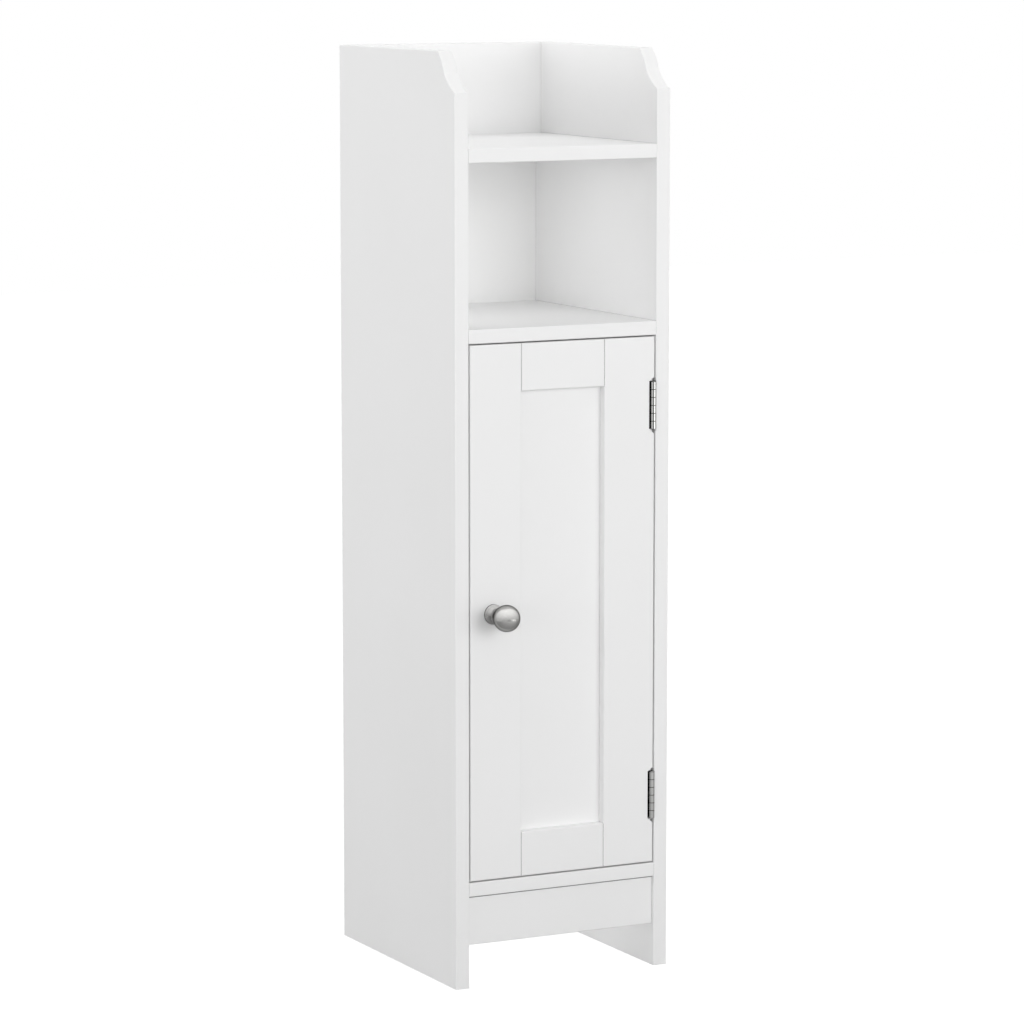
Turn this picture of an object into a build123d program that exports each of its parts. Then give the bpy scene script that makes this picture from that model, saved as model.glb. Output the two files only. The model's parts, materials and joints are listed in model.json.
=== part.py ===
from build123d import *
import os
from math import atan, degrees, sqrt

# Narrow bathroom cabinet: a tray on top, an open shelf, and a cupboard behind one framed door.
# Sizes are in millimetres. X runs to the right, Y to the back and Z up from the floor.
# The origin is on the floor, below the middle of the whole outline with the knob.

# Carcass
width = 255.0
depth = 280.0
height = 990.0
side_thickness = 16.0
board_thickness = 15.0
board_arris = 1.0

# Levels
plinth_clearance = 99.0
open_shelf_height = 173.0
tray_depth = 100.0

# Shaped top front corner of the sides, measured back from the front and down from the top
corner_back = 40.0
corner_drop = 42.0
corner_break_back = 24.0
corner_break_drop = 23.0
corner_swell = 1.9
corner_hollow = 2.2

# Apron, backboard and thin back
apron_thickness = 15.0
apron_height = 52.1
apron_setback = 4.0
apron_gap = 0.9
backboard_thickness = 15.0
back_panel_thickness = 3.0
back_panel_lap = 8.0

# Tongues on the ends of the boards, in grooves in the sides that stop short of the edges in view
tongue_length = 5.0
tongue_thickness = 7.0
tongue_stop = 12.0

# Staples of the thin back
staple_crown = 10.0
staple_wire = 0.9
staple_leg = 12.0
staple_end_distance = 45.0
staples_per_side = 3
staple_board_spacing = 120.0

# Loose shelf and its pins
inner_shelf_thickness = 15.0
inner_shelf_setback = 10.0
inner_shelf_end_gap = 1.5
inner_shelf_back_gap = 1.0
pin_radius = 2.5
pin_depth = 9.0
pin_reach = 8.0
pin_edge_distance = 35.0

# Door
door_gap = 1.5
door_thickness = 15.0
stile_width = 60.5
top_rail_height = 50.5
bottom_rail_height = 48.0
door_panel_thickness = 5.0
door_panel_lap = 8.0
frame_arris = 1.3
tenon_length = 12.0
tenon_thickness = 4.0
tenon_shoulder = 9.0

# Knob
knob_inset = 27.0
knob_diameter = 28.5
knob_reach = 31.0
knob_foot_diameter = 21.4
knob_foot_rim = 1.4
knob_step_diameter = 17.0
knob_step_height = 0.8
knob_neck_diameter = 9.4
knob_neck_distance = 9.0
knob_collar_diameter = 13.0
knob_bore_depth = 14.0
knob_screw_radius = 2.0
knob_screw_head_radius = 4.0
knob_screw_head_height = 2.2
knob_screw_reach = 12.0

# Hinges
hinge_inset = 73.5
hinge_length = 51.0
hinge_knuckles = 6
knuckle_diameter = 6.0
leaf_thickness = 1.2
leaf_width = 13.5
roll_seam = 0.3
hinge_pin_head_radius = 2.6
hinge_pin_head_height = 0.8
hinge_screw_spacing = 30.0
hinge_screw_setback = 9.0
hinge_screw_radius = 1.5
hinge_screw_head_radius = 2.8
hinge_screw_in_side = 12.0
hinge_screw_in_door = 16.0
pocket_ramp = 4.8
pocket_margin = 2.0

# Catch
catch_width = 26.0
catch_height = 14.0
catch_length = 12.0
catch_ear_width = 8.0
catch_ear_height = 2.5
catch_wall = 2.0
catch_magnet_drop = 8.0
catch_magnet_height = 4.0
catch_pole_thickness = 1.2
catch_pole_reach = 0.4
catch_air = 0.3
strike_width = 24.0
strike_height = 10.0
strike_thickness = 1.2

# Small countersunk screws
small_screw_radius = 1.4
small_screw_head_radius = 2.6
small_screw_head_height = 1.1
small_screw_length = 11.0

# Clearances
fit_gap = 0.05
seat_gap = 0.2
rolling_gap = 0.3
panel_side_gap = 0.5

# Places worked out from the sizes
inner_half = width / 2 - side_thickness
knob_radius = knob_diameter / 2
back_y = (depth + knob_reach + knob_radius) / 2
front_y = back_y - depth
panel_face_y = back_y - back_panel_thickness
bottom_top = plinth_clearance + board_thickness
tray_floor = height - tray_depth
open_floor = tray_floor - board_thickness - open_shelf_height
cupboard_top = open_floor - board_thickness
door_bottom = bottom_top + door_gap
door_top = cupboard_top - door_gap
door_half = inner_half - door_gap
door_back_y = front_y + door_thickness

os.makedirs("parts", exist_ok=True)


def keep(name, piece):
    """Labels a finished piece and writes it."""
    piece.part.label = name
    export_step(piece.part, f"parts/{name}.step")


def wall_plane(side, column, level, sunk=0.0):
    """A plane on the inner face of one side, or sunk into it, that looks into the cabinet."""
    return Plane((side * (inner_half + sunk), column, level), x_dir=(0, 1, 0), z_dir=(-side, 0, 0))


def back_plane(x, y, z):
    """A plane that looks backwards, at the wall behind the cabinet."""
    return Plane((x, y, z), x_dir=(1, 0, 0), z_dir=(0, 1, 0))


def screw_hole(radius, head_radius, head_height, length):
    """Bores the piece in hand for a countersunk screw with its head on the place in use."""
    angle = 2 * degrees(atan((head_radius - radius) / head_height))
    CounterSinkHole(radius + fit_gap, head_radius + fit_gap, length + seat_gap, angle)


def countersunk_screw(radius, head_radius, head_height, length):
    """One countersunk screw with its head on its origin and its point down -Z."""
    with BuildPart(mode=Mode.PRIVATE) as screw:
        with BuildSketch(Plane.XZ):
            Polygon(
                (0, 0),
                (head_radius, 0),
                (radius, -head_height),
                (radius, -length),
                (0, -length),
                align=None,
            )
        revolve(axis=Axis.Z)
    return screw.part


# Apron and backboard. The backboard is let into the top shelf down to its tongues.
apron_middle_y = front_y + apron_setback + apron_thickness / 2
apron_top = plinth_clearance - apron_gap
apron_bottom = apron_top - apron_height
backboard_middle_y = back_y - backboard_thickness / 2
tongue_shoulder = (board_thickness - tongue_thickness) / 2
backboard_bottom = tray_floor - tongue_shoulder

# Tongues, each as its lowest and highest Y and Z
board_tops = (tray_floor, open_floor, bottom_top)
apron_tongue = (
    apron_middle_y - tongue_thickness / 2,
    apron_middle_y + tongue_thickness / 2,
    apron_bottom + tongue_stop,
    apron_top,
)
backboard_tongue = (
    backboard_middle_y - tongue_thickness / 2,
    backboard_middle_y + tongue_thickness / 2,
    backboard_bottom,
    height - tongue_stop,
)


def board_tongue(top):
    """The tongues of the flat board with the given top, as their lowest and highest Y and Z."""
    return (
        front_y + tongue_stop,
        panel_face_y,
        top - board_thickness + tongue_shoulder,
        top - tongue_shoulder,
    )


def tongue_bar(tongue, reach):
    """A level bar across the cabinet that reaches so far into each side. Added to a board it makes
    the tongues, and cut from a side it makes their groove."""
    y_low, y_high, z_low, z_high = tongue
    with BuildPart(mode=Mode.PRIVATE) as bar:
        with BuildSketch(Plane.YZ):
            with Locations(((y_low + y_high) / 2, (z_low + z_high) / 2)):
                Rectangle(y_high - y_low, z_high - z_low)
        extrude(amount=inner_half + reach, both=True)
    return bar.part


def backboard_blank():
    """The backboard before its tongues and its rounded top edges."""
    with BuildPart(mode=Mode.PRIVATE) as blank:
        with BuildSketch(Plane.XY.offset(backboard_bottom)):
            with Locations((0, backboard_middle_y)):
                Rectangle(2 * inner_half, backboard_thickness)
        extrude(amount=height - backboard_bottom)
    return blank.part


# Pins of the loose shelf, as their column in Y and their level in Z
pin_level = (bottom_top + cupboard_top) / 2
inner_shelf_front = door_back_y + inner_shelf_setback
inner_shelf_back = panel_face_y - inner_shelf_back_gap
pin_places = [
    (inner_shelf_front + pin_edge_distance, pin_level),
    (inner_shelf_back - pin_edge_distance, pin_level),
]

# Staples of the thin back: level ones in the flat boards, upright ones in the sides
staple_rise = (tray_floor - plinth_clearance - 2 * staple_end_distance) / (staples_per_side - 1)


def board_staples(top):
    """Planes of the staples in one flat board."""
    level = top - board_thickness / 2
    return [back_plane(side * staple_board_spacing / 2, back_y, level) for side in (-1, 1)]


def side_staples(side):
    """Planes of the staples in one side, turned a quarter so that their crowns stand upright."""
    x = side * (inner_half + back_panel_lap / 2)
    levels = [plinth_clearance + staple_end_distance + step * staple_rise for step in range(staples_per_side)]
    return [Plane((x, back_y, level), x_dir=(0, 0, 1), z_dir=(0, 1, 0)) for level in levels]


all_staples = side_staples(-1) + side_staples(1)
for board_top in board_tops:
    all_staples += board_staples(board_top)


def staple(room=0.0):
    """One staple with its crown under its origin along X and its legs down -Z, with room around it."""
    with BuildPart(mode=Mode.PRIVATE) as wire:
        with BuildSketch(Plane.XZ):
            Rectangle(
                staple_crown + 2 * room,
                staple_leg + room,
                align=(Align.CENTER, Align.MAX),
            )
            with Locations((0, -staple_wire - room)):
                Rectangle(
                    staple_crown - 2 * (staple_wire + room),
                    staple_leg,
                    align=(Align.CENTER, Align.MAX),
                    mode=Mode.SUBTRACT,
                )
        extrude(amount=staple_wire / 2 + room, both=True)
    return wire.part


# Hinges: the pins' axis lies in the face of the door, and the case leaf on the side's inner face
knuckle_radius = knuckle_diameter / 2
knuckle_bore = knuckle_radius - leaf_thickness
hinge_x = inner_half - knuckle_radius
hinge_levels = {"upper": door_top - hinge_inset, "lower": door_bottom + hinge_inset}


def hinge_screw_planes(side, levels):
    """Planes on the inner faces of the leaves on one side of the pins, one for each of their screws."""
    return [
        Plane(
            origin=(hinge_x + side * knuckle_bore, front_y + hinge_screw_setback, level + rise),
            x_dir=(0, 1, 0),
            z_dir=(-side, 0, 0),
        )
        for level in levels
        for rise in (-hinge_screw_spacing / 2, hinge_screw_spacing / 2)
    ]


def hinge_screw_hole(reach):
    """Bores the piece in hand for a hinge screw that reaches that far past the leaf. The screw's
    head is as high as the leaf is thick."""
    screw_hole(hinge_screw_radius, hinge_screw_head_radius, leaf_thickness, leaf_thickness + reach)


# Catch under the middle shelf, in line with the left stile
opening_half = door_half - stile_width
catch_x = -(opening_half + stile_width / 2)
strike_face_y = door_back_y + strike_thickness
pole_face_y = strike_face_y + catch_air
catch_face_y = pole_face_y + catch_pole_reach
catch_middle_y = catch_face_y + catch_length / 2
magnet_level = cupboard_top - catch_magnet_drop
catch_screw_level = cupboard_top - catch_ear_height
catch_screw_reach = (catch_width + catch_ear_width) / 2
catch_screw_places = [
    Plane((catch_x + side * catch_screw_reach, catch_middle_y, catch_screw_level), z_dir=(0, 0, -1))
    for side in (-1, 1)
]
strike_place = back_plane(catch_x, strike_face_y, magnet_level)


def small_screw_hole():
    """Bores the piece in hand for a small screw."""
    screw_hole(small_screw_radius, small_screw_head_radius, small_screw_head_height, small_screw_length)


def side_panel(side):
    """One side: shaped corner, rebate for the thin back, grooves for the tongues, and bores."""
    corner_start = (front_y + corner_back, height)
    corner_break = (front_y + corner_break_back, height - corner_break_drop)
    corner_end = (front_y, height - corner_drop)
    with BuildPart() as panel:
        with BuildSketch(Plane.YZ.offset(side * (width - side_thickness) / 2)):
            with BuildLine():
                Polyline(corner_end, (front_y, 0), (back_y, 0), (back_y, height), corner_start)
                SagittaArc(corner_start, corner_break, -corner_swell)
                SagittaArc(corner_break, corner_end, corner_hollow)
            make_face()
            fillet(vertices().sort_by_distance(corner_break)[0], radius=board_arris)
        extrude(amount=side_thickness / 2, both=True)
        profile_edges = panel.edges().filter_by(Axis.X, reverse=True)
        foot_edges = profile_edges.group_by(Axis.Z)[0]
        rear_edges = profile_edges.group_by(Axis.Y)[-1]
        fillet(profile_edges - foot_edges - rear_edges, radius=board_arris)
        with BuildSketch(Plane.XY.offset(plinth_clearance)):
            with Locations((side * inner_half, back_y)):
                Rectangle(2 * back_panel_lap, 2 * back_panel_thickness)
        extrude(amount=backboard_bottom - plinth_clearance, mode=Mode.SUBTRACT)
        for top in board_tops:
            add(tongue_bar(board_tongue(top), tongue_length), mode=Mode.SUBTRACT)
        for tongue in (apron_tongue, backboard_tongue):
            add(tongue_bar(tongue, tongue_length), mode=Mode.SUBTRACT)
        with Locations(*[wall_plane(side, column, level) for column, level in pin_places]):
            Hole(pin_radius + fit_gap, depth=pin_depth + seat_gap)
        if side > 0:
            with Locations(*hinge_screw_planes(1, hinge_levels.values())):
                hinge_screw_hole(hinge_screw_in_side)
        with Locations(*side_staples(side)):
            add(staple(fit_gap), mode=Mode.SUBTRACT)
    return panel


# Sides
keep("side_panel_left", side_panel(-1))
keep("side_panel_right", side_panel(1))


def flat_board(top):
    """A board fixed between the sides by a tongue at each end, its front edge flush with them."""
    with BuildPart() as board:
        with BuildSketch(Plane.XY.offset(top - board_thickness)):
            with Locations((0, front_y)):
                Rectangle(2 * inner_half, panel_face_y - front_y, align=(Align.CENTER, Align.MIN))
        extrude(amount=board_thickness)
        fillet(board.faces().sort_by(Axis.Y)[0].edges().filter_by(Axis.X), radius=board_arris)
        add(tongue_bar(board_tongue(top), tongue_length - seat_gap))
        with Locations(*board_staples(top)):
            add(staple(fit_gap), mode=Mode.SUBTRACT)
    return board


# Flat boards. The top one is rebated for the backboard, and the middle one takes the catch's screws.
keep("bottom_board", flat_board(bottom_top))
top_shelf = flat_board(tray_floor)
with top_shelf:
    add(backboard_blank(), mode=Mode.SUBTRACT)
keep("top_shelf", top_shelf)
middle_shelf = flat_board(open_floor)
with middle_shelf:
    with Locations(*catch_screw_places):
        small_screw_hole()
keep("middle_shelf", middle_shelf)

# Apron just under the bottom board
with BuildPart() as apron:
    with BuildSketch(Plane.XY.offset(apron_bottom)):
        with Locations((0, apron_middle_y)):
            Rectangle(2 * inner_half, apron_thickness)
    extrude(amount=apron_height)
    fillet(apron.faces().sort_by(Axis.Y)[0].edges().filter_by(Axis.X), radius=board_arris)
    add(tongue_bar(apron_tongue, tongue_length - seat_gap))
keep("apron", apron)

# Backboard behind the tray
with BuildPart() as backboard:
    add(backboard_blank())
    fillet(backboard.faces().sort_by(Axis.Z)[-1].edges().filter_by(Axis.X), radius=board_arris)
    add(tongue_bar(backboard_tongue, tongue_length - seat_gap))
keep("backboard", backboard)

# Thin back in the sides' rebates
with BuildPart() as back_panel:
    with BuildSketch(Plane.XY.offset(plinth_clearance)):
        with Locations((0, back_y - back_panel_thickness / 2)):
            Rectangle(2 * (inner_half + back_panel_lap - panel_side_gap), back_panel_thickness)
    extrude(amount=backboard_bottom - plinth_clearance)
    with Locations(*all_staples):
        add(staple(fit_gap), mode=Mode.SUBTRACT)
keep("back_panel", back_panel)

# Staples, their crowns flush with the thin back
with BuildPart() as back_panel_staples:
    with Locations(*all_staples):
        add(staple())
keep("back_panel_staples", back_panel_staples)

# Loose shelf in the cupboard, on its pins
with BuildPart() as inner_shelf:
    with BuildSketch(Plane.XY.offset(pin_level + pin_radius)):
        with Locations((0, inner_shelf_front)):
            Rectangle(
                2 * (inner_half - inner_shelf_end_gap),
                inner_shelf_back - inner_shelf_front,
                align=(Align.CENTER, Align.MIN),
            )
    extrude(amount=inner_shelf_thickness)
    fillet(inner_shelf.faces().sort_by(Axis.Y)[0].edges().filter_by(Axis.X), radius=board_arris)
keep("inner_shelf", inner_shelf)

# Pins of the loose shelf
with BuildPart() as shelf_pins:
    for side in (-1, 1):
        with Locations(*[wall_plane(side, column, level, pin_depth) for column, level in pin_places]):
            Cylinder(pin_radius, pin_depth + pin_reach, align=(Align.CENTER, Align.CENTER, Align.MIN))
keep("shelf_pins", shelf_pins)

# Door frame
opening_bottom = door_bottom + bottom_rail_height
opening_top = door_top - top_rail_height
panel_middle_y = door_back_y - door_panel_thickness / 2
tenon_y = front_y + (door_thickness - door_panel_thickness) / 2
knob_x = knob_inset - door_half
knob_level = (door_bottom + door_top) / 2
pocket_floor_x = hinge_x - knuckle_radius
relief_floor_x = pocket_floor_x - pocket_margin


# Rails, each as its middle level and its height
top_rail = ((opening_top + door_top) / 2, top_rail_height)
bottom_rail = ((door_bottom + opening_bottom) / 2, bottom_rail_height)


def hinge_pocket(level):
    """The room that one hinge takes in the stile: a pocket for the leaf, and a ramped relief for
    the barrel."""
    half_length = hinge_length / 2 + rolling_gap
    with BuildPart(mode=Mode.PRIVATE) as pocket:
        with BuildSketch(Plane.XY.offset(level - half_length)):
            with Locations((pocket_floor_x, front_y)):
                Rectangle(
                    door_half - pocket_floor_x,
                    leaf_width + rolling_gap,
                    align=(Align.MIN, Align.MIN),
                )
        extrude(amount=2 * half_length)
        with BuildSketch(Plane.XZ.offset(-front_y)):
            Polygon(
                (relief_floor_x, level - half_length),
                (door_half, level - half_length - pocket_ramp),
                (door_half, level + half_length + pocket_ramp),
                (relief_floor_x, level + half_length),
                align=None,
            )
        extrude(amount=-(knuckle_radius + pocket_margin))
    return pocket.part


def stile(side):
    """One upright of the door frame, with mortises for the rails and a rebate for the panel."""
    with BuildPart() as upright:
        with BuildSketch(Plane.XY.offset(door_bottom)):
            with Locations((side * (door_half - stile_width / 2), front_y + door_thickness / 2)):
                Rectangle(stile_width, door_thickness)
        extrude(amount=door_top - door_bottom)
        fillet(upright.faces().sort_by(Axis.Y)[0].edges(), radius=frame_arris)
        for middle, rail_height in (top_rail, bottom_rail):
            mouth = Plane((side * opening_half, tenon_y, middle), x_dir=(0, 1, 0), z_dir=(side, 0, 0))
            with BuildSketch(mouth):
                Rectangle(tenon_thickness, rail_height - 2 * tenon_shoulder)
            extrude(amount=tenon_length + seat_gap, mode=Mode.SUBTRACT)
        with BuildSketch(Plane.XY.offset(opening_bottom - door_panel_lap)):
            with Locations((side * opening_half, door_back_y)):
                Rectangle(2 * door_panel_lap, 2 * door_panel_thickness)
        extrude(amount=opening_top - opening_bottom + 2 * door_panel_lap, mode=Mode.SUBTRACT)
        if side < 0:
            with Locations(back_plane(knob_x, door_back_y, knob_level)):
                Hole(knob_screw_radius + seat_gap)
            with Locations(strike_place):
                small_screw_hole()
        else:
            for level in hinge_levels.values():
                add(hinge_pocket(level), mode=Mode.SUBTRACT)
            with Locations(*hinge_screw_planes(-1, hinge_levels.values())):
                hinge_screw_hole(hinge_screw_in_door)
    return upright


def rail(middle, rail_height, side):
    """One cross piece of the door frame, with a stub tenon at each end and a rebate for the panel
    along its edge above or below it."""
    tenon_height = rail_height - 2 * (tenon_shoulder + fit_gap)
    with BuildPart() as cross:
        with BuildSketch(Plane.XY.offset(middle - rail_height / 2)):
            with Locations((0, front_y + door_thickness / 2)):
                Rectangle(2 * opening_half, door_thickness)
        extrude(amount=rail_height)
        fillet(cross.faces().sort_by(Axis.Y)[0].edges(), radius=frame_arris)
        with BuildSketch(Plane.XY.offset(middle - tenon_height / 2)):
            with Locations((0, tenon_y)):
                Rectangle(2 * (opening_half + tenon_length), tenon_thickness - 2 * fit_gap)
        extrude(amount=tenon_height)
        with BuildSketch(Plane.XY.offset(middle + side * rail_height / 2 - door_panel_lap)):
            with Locations((0, door_back_y)):
                Rectangle(2 * opening_half, 2 * door_panel_thickness)
        extrude(amount=2 * door_panel_lap, mode=Mode.SUBTRACT)
    return cross


keep("door_stile_left", stile(-1))
keep("door_stile_right", stile(1))
keep("door_rail_top", rail(*top_rail, -1))
keep("door_rail_bottom", rail(*bottom_rail, 1))

# Thin panel in the frame's rebate, flush with the back of the door
panel_overlap = door_panel_lap - panel_side_gap
with BuildPart() as door_panel:
    with BuildSketch(Plane.XY.offset(opening_bottom - panel_overlap)):
        with Locations((0, panel_middle_y)):
            Rectangle(2 * (opening_half + panel_overlap), door_panel_thickness)
    extrude(amount=opening_top - opening_bottom + 2 * panel_overlap)
keep("door_panel", door_panel)

# Knob, turned about an axis that points out of the door: foot, coved neck and ball
foot_radius = knob_foot_diameter / 2
step_radius = knob_step_diameter / 2
neck_radius = knob_neck_diameter / 2
collar_radius = knob_collar_diameter / 2
step_end = knob_foot_rim + knob_step_height
collar_distance = knob_reach - sqrt(knob_radius**2 - collar_radius**2)
with BuildPart() as knob:
    with BuildSketch(Plane((knob_x, front_y, knob_level), x_dir=(1, 0, 0), z_dir=(0, 0, -1))):
        with BuildLine():
            Polyline(
                (0, knob_reach + knob_radius),
                (0, 0),
                (foot_radius, 0),
                (foot_radius, knob_foot_rim),
                (step_radius, step_end),
            )
            TangentArc((neck_radius, knob_neck_distance), (step_radius, step_end), tangent=(0, -1))
            TangentArc((neck_radius, knob_neck_distance), (collar_radius, collar_distance), tangent=(0, 1))
            ThreePointArc(
                (collar_radius, collar_distance),
                (knob_radius, knob_reach),
                (0, knob_reach + knob_radius),
            )
        make_face()
    revolve(axis=Axis((knob_x, front_y, knob_level), (0, 1, 0)))
    with Locations(back_plane(knob_x, front_y, knob_level)):
        Hole(knob_screw_radius + fit_gap, depth=knob_bore_depth)
keep("knob", knob)

# Machine screw that holds the knob from behind the stile
with BuildPart() as knob_screw:
    with Locations(back_plane(knob_x, door_back_y, knob_level)):
        Cylinder(
            knob_screw_head_radius,
            knob_screw_head_height,
            align=(Align.CENTER, Align.CENTER, Align.MIN),
        )
        Cylinder(
            knob_screw_radius,
            door_thickness + knob_screw_reach,
            align=(Align.CENTER, Align.CENTER, Align.MAX),
        )
keep("knob_screw", knob_screw)

# Hinges. Both leaves roll round one pin, and each owns every second knuckle.
knuckle_pitch = hinge_length / hinge_knuckles
knuckle_room = knuckle_radius + rolling_gap


def hinge_leaf(level, side, first):
    """One leaf on one side of the pin. Its knuckles start with the given one from the top."""
    foot = level - hinge_length / 2
    with BuildPart() as leaf:
        with BuildSketch(Plane.XY.offset(foot)):
            with Locations((hinge_x + side * (knuckle_radius - leaf_thickness / 2), front_y)):
                Rectangle(leaf_thickness, leaf_width, align=(Align.CENTER, Align.MIN))
            with Locations((hinge_x, front_y)):
                Circle(knuckle_radius)
                Circle(knuckle_bore, mode=Mode.SUBTRACT)
            with Locations((hinge_x + side * (knuckle_bore - roll_seam / 2), front_y)):
                Rectangle(roll_seam, knuckle_radius, align=(Align.CENTER, Align.MIN), mode=Mode.SUBTRACT)
        extrude(amount=hinge_length)
        for knuckle in range(1 - first, hinge_knuckles, 2):
            top = foot + hinge_length - knuckle * knuckle_pitch
            with BuildSketch(Plane.XY.offset(top + rolling_gap / 2)):
                with Locations((hinge_x, front_y)):
                    Rectangle(2 * knuckle_room, 2 * knuckle_room)
            extrude(amount=-knuckle_pitch - rolling_gap, mode=Mode.SUBTRACT)
        with Locations(*hinge_screw_planes(side, [level])):
            hinge_screw_hole(seat_gap)
    return leaf


def hinge_pin(level):
    """The pin of one hinge, with its head on top."""
    with BuildPart() as pin:
        with Locations((hinge_x, front_y, level + hinge_length / 2)):
            Cylinder(
                knuckle_bore - fit_gap,
                hinge_length,
                align=(Align.CENTER, Align.CENTER, Align.MAX),
            )
            Cylinder(
                hinge_pin_head_radius,
                hinge_pin_head_height,
                align=(Align.CENTER, Align.CENTER, Align.MIN),
            )
    return pin


for place, hinge_level in hinge_levels.items():
    keep(f"{place}_hinge_door_leaf", hinge_leaf(hinge_level, -1, 0))
    keep(f"{place}_hinge_case_leaf", hinge_leaf(hinge_level, 1, 1))
    keep(f"{place}_hinge_pin", hinge_pin(hinge_level))


def hinge_screws(side, reach):
    """The screws in the leaves on one side of the pins."""
    with BuildPart() as screws:
        with Locations(*hinge_screw_planes(side, hinge_levels.values())):
            add(
                countersunk_screw(
                    hinge_screw_radius,
                    hinge_screw_head_radius,
                    leaf_thickness,
                    leaf_thickness + reach,
                )
            )
    return screws


keep("hinge_screws_case", hinge_screws(1, hinge_screw_in_side))
keep("hinge_screws_door", hinge_screws(-1, hinge_screw_in_door))

# Magnetic catch under the middle shelf. Its poles stop just short of the strike on the door.
cavity_width = catch_width - 2 * catch_wall
cavity_depth = catch_length - catch_wall
stack_height = catch_magnet_height + 2 * catch_pole_thickness

with BuildPart() as catch_housing:
    with BuildSketch(Plane.XY.offset(cupboard_top - catch_height)):
        with Locations((catch_x, catch_middle_y)):
            Rectangle(catch_width, catch_length)
    extrude(amount=catch_height)
    with BuildSketch(Plane.XY.offset(catch_screw_level)):
        with Locations((catch_x, catch_middle_y)):
            Rectangle(catch_width + 2 * catch_ear_width, catch_length)
            chamfer(vertices(), length=catch_wall)
    extrude(amount=catch_ear_height)
    with BuildSketch(Plane.XZ.offset(-catch_face_y)):
        with Locations((catch_x, magnet_level)):
            Rectangle(cavity_width, stack_height + 2 * fit_gap)
    extrude(amount=-cavity_depth, mode=Mode.SUBTRACT)
    with Locations(*catch_screw_places):
        small_screw_hole()
keep("catch_housing", catch_housing)

with BuildPart() as catch_magnet:
    with BuildSketch(Plane.XY.offset(magnet_level - catch_magnet_height / 2)):
        with Locations((catch_x, catch_face_y + cavity_depth / 2)):
            Rectangle(cavity_width - 2 * fit_gap, cavity_depth - 2 * fit_gap)
    extrude(amount=catch_magnet_height)
keep("catch_magnet", catch_magnet)

with BuildPart() as catch_poles:
    for level in (magnet_level - stack_height / 2, magnet_level + catch_magnet_height / 2):
        with BuildSketch(Plane.XY.offset(level)):
            with Locations((catch_x, pole_face_y)):
                Rectangle(
                    cavity_width - 2 * fit_gap,
                    catch_pole_reach + cavity_depth - fit_gap,
                    align=(Align.CENTER, Align.MIN),
                )
        extrude(amount=catch_pole_thickness)
keep("catch_poles", catch_poles)


def small_screws(places):
    """Small screws at the given places."""
    with BuildPart() as screws:
        with Locations(*places):
            add(
                countersunk_screw(
                    small_screw_radius,
                    small_screw_head_radius,
                    small_screw_head_height,
                    small_screw_length,
                )
            )
    return screws


keep("catch_screws", small_screws(catch_screw_places))

# Strike plate and its screw on the back of the door
with BuildPart() as strike_plate:
    with BuildSketch(strike_place):
        Rectangle(strike_width, strike_height)
    extrude(amount=-strike_thickness)
    with Locations(strike_place):
        small_screw_hole()
keep("strike_plate", strike_plate)
keep("strike_screw", small_screws([strike_place]))
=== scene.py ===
import json
import logging
import math
from dataclasses import dataclass, replace
from enum import Enum

import bmesh
import bpy
from mathutils import Matrix, Vector

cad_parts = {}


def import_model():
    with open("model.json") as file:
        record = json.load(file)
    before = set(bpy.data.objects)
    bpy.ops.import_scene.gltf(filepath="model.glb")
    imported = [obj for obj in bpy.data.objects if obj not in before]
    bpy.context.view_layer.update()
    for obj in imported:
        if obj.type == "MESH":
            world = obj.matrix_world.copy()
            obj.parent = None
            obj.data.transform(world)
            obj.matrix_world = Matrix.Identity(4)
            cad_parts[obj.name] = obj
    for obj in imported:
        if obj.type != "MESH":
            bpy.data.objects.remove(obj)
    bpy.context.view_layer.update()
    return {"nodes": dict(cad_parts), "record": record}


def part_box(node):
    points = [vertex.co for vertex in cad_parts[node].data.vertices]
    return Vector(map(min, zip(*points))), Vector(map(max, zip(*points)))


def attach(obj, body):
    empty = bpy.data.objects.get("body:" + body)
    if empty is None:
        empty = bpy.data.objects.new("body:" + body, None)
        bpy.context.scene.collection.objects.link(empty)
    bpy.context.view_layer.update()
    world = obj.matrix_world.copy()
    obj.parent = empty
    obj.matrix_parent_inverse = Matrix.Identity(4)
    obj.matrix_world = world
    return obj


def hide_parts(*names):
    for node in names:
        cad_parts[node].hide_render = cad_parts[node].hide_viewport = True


log = logging.getLogger("cabinet")

MM = 0.001
FORWARDS = Vector((0.0, -1.0, 0.0))
BACKWARDS = Vector((0.0, 1.0, 0.0))

Colour = tuple[float, float, float]
Loop = list[Vector]


class Body(Enum):
    """The two rigid bodies of the cabinet."""

    CARCASS = "carcass"
    DOOR = "door"


class Slot(Enum):
    """The record's material slots."""

    PAINT = "painted_board"
    THIN_BACK = "thin_back"
    HINGE = "hinge_steel"
    SCREW = "screw_steel"
    KNOB = "knob_nickel"
    PLASTIC = "catch_plastic"
    MAGNET = "magnet_ferrite"


class Facing(Enum):
    """Which way a fill lamp shines, as its turn about X and Y in degrees."""

    BACK = (90.0, 0.0)
    RIGHT = (0.0, -90.0)
    DOWN = (0.0, 0.0)


@dataclass(frozen=True)
class CreviceShade:
    """Painted shade in cracks and inner corners: the colour is darkened where another surface is
    near, as the shade that falls there. The reach is how near another surface has to be, in metres,
    and the darkest is the share of the colour that is left deep in a crevice. Of the openness, from
    0 to 1, the deep end counts as deep and the open end as open."""

    reach: float
    darkest: float
    deep_end: float
    open_end: float


@dataclass(frozen=True)
class Step:
    """A smooth step in brightness along one axis of the direction that is looked in."""

    axis: str
    start: float
    end: float
    rise: float


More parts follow.
